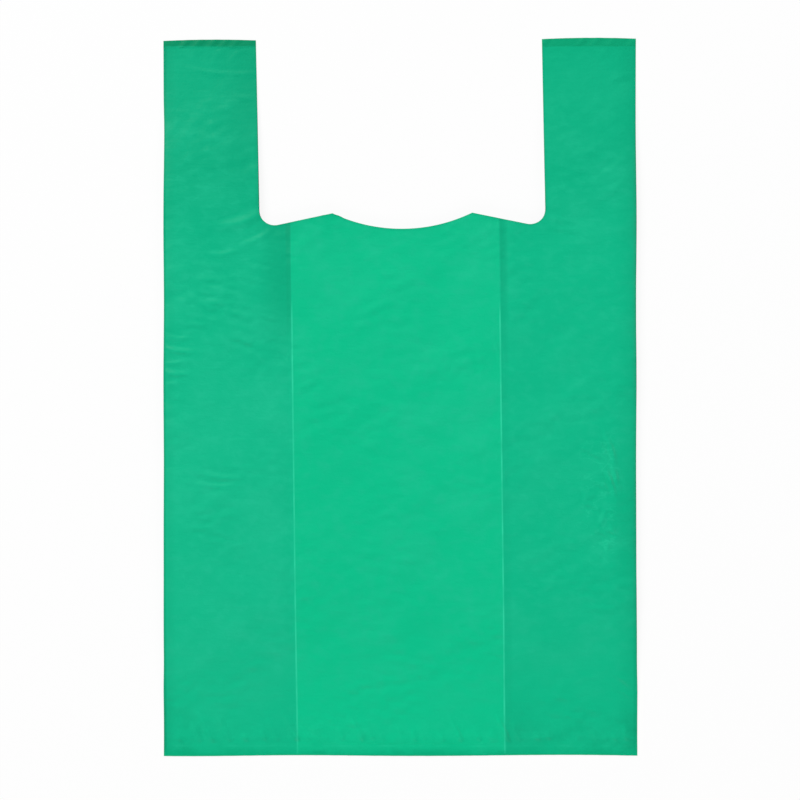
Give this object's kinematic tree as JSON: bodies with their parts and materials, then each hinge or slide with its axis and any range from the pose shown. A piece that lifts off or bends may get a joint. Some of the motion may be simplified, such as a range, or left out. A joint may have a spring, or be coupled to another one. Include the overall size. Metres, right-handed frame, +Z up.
{
  "type": "plastic carrier bag",
  "caption": "Vest-type carrier bag of thin green plastic film, lying flat: gusseted sides, sealed bottom, open mouth and looped handles.",
  "frame": {"origin": "on the surface the bag lies on, under the middle of its lay-flat outline", "axes": "+Z up out of the front panel, +Y along the bag towards its handles, +X across it to the right"},
  "size_m": [0.3, 0.456, 0.0066],
  "materials": {
    "film": "satin"
  },
  "bodies": {
    "root": {"carrier_bag": "film"}
  },
  "joints": []
}
